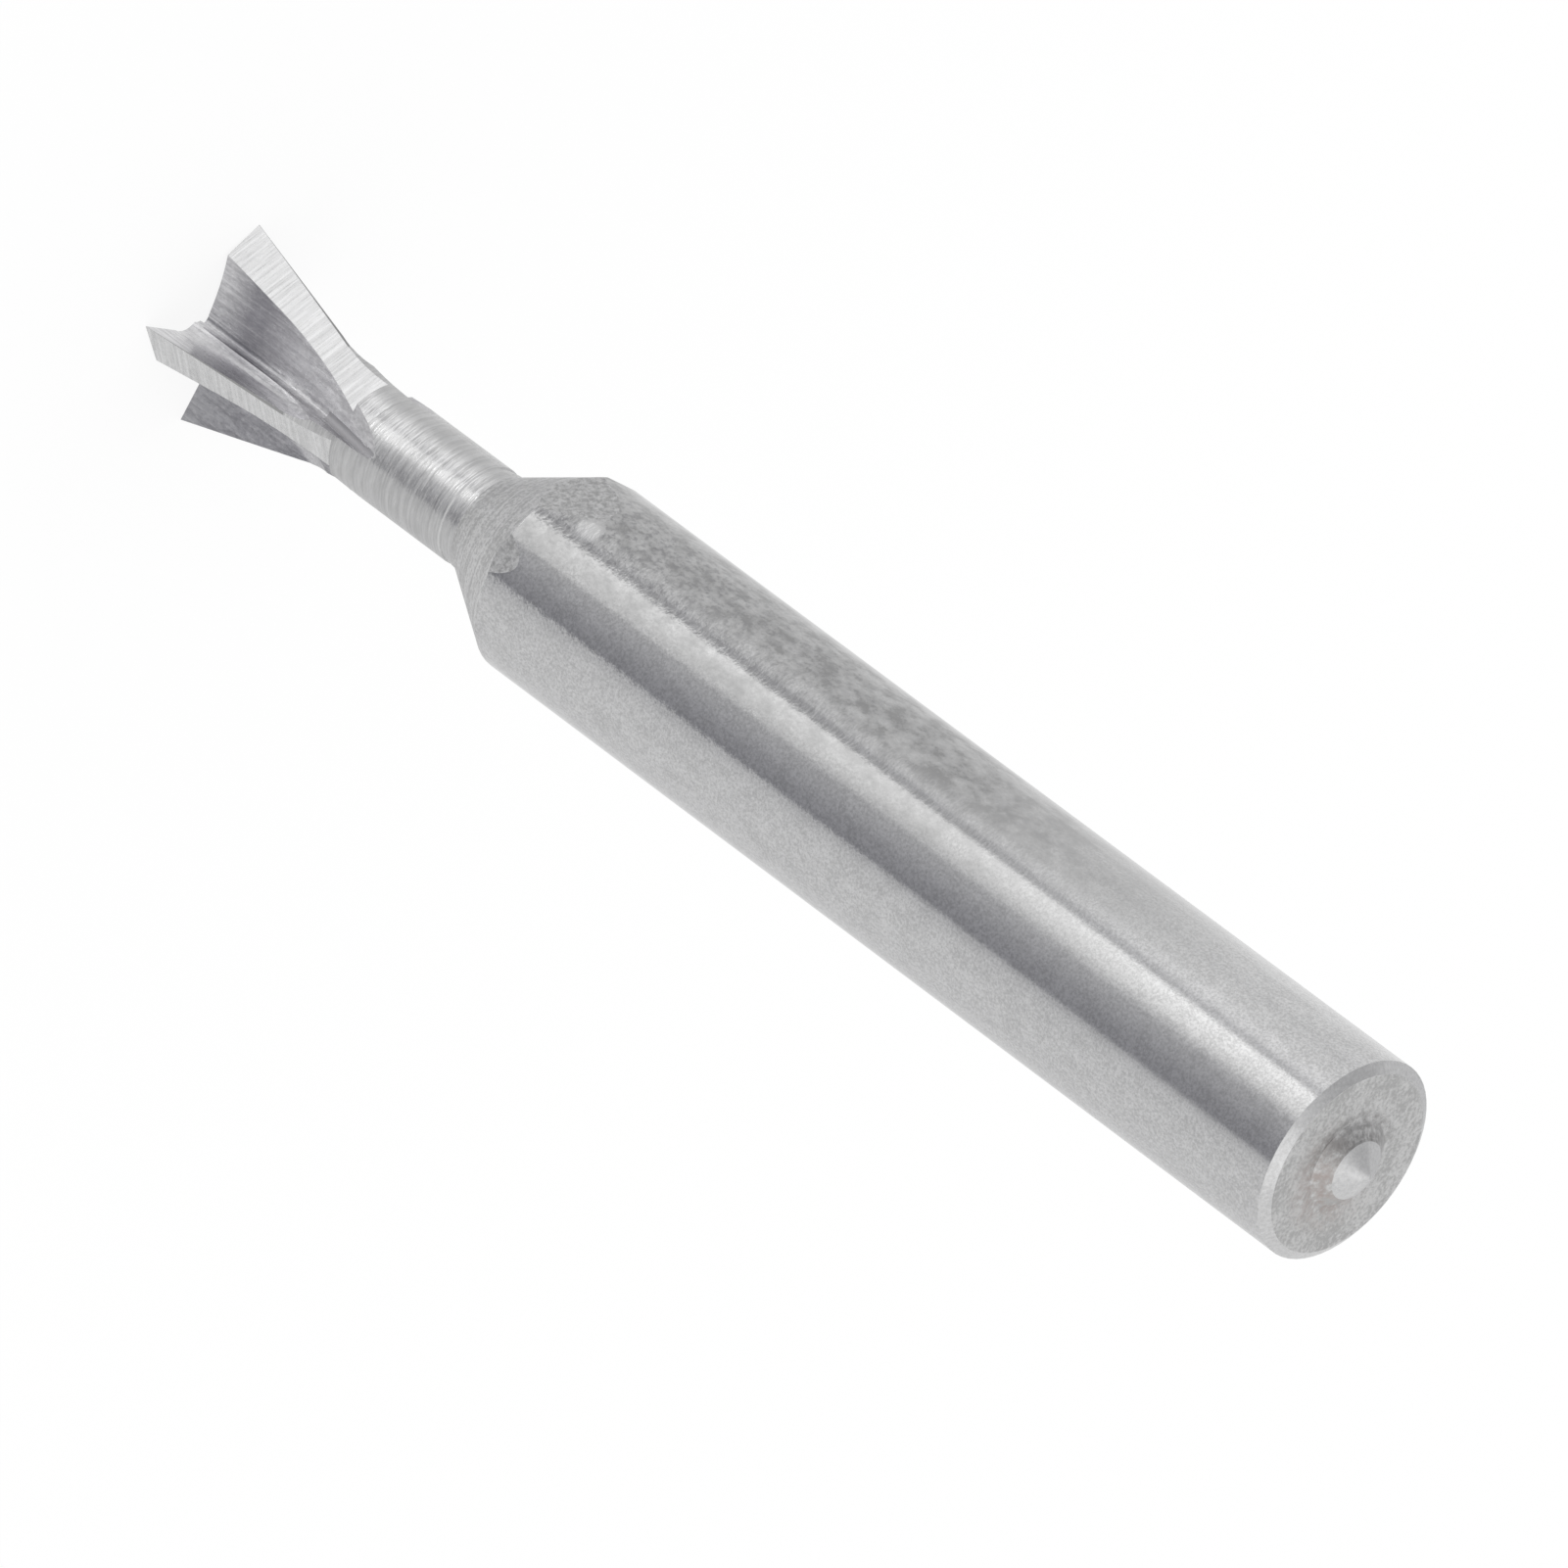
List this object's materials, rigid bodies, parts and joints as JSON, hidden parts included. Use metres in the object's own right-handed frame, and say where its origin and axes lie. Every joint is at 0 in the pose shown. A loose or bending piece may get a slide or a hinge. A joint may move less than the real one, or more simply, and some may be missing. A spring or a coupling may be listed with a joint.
{
  "type": "dovetail cutter",
  "caption": "Small fluted dovetail cutter: a flared head with flat ground lands and hooked teeth on a slim turned neck, with a plain round shank that ends in a male centre.",
  "frame": {"origin": "on the tool axis, in the plane of the tooth corners, which the cutter stands on", "axes": "+Z along the tool axis from the cutting end to the shank, +X along the cutting edge of one tooth"},
  "size_m": [0.008, 0.008, 0.06],
  "materials": {
    "tool_steel": "ground shank, turned neck, fluted and ground teeth"
  },
  "bodies": {
    "root": {"dovetail_cutter": "tool_steel"}
  },
  "joints": []
}
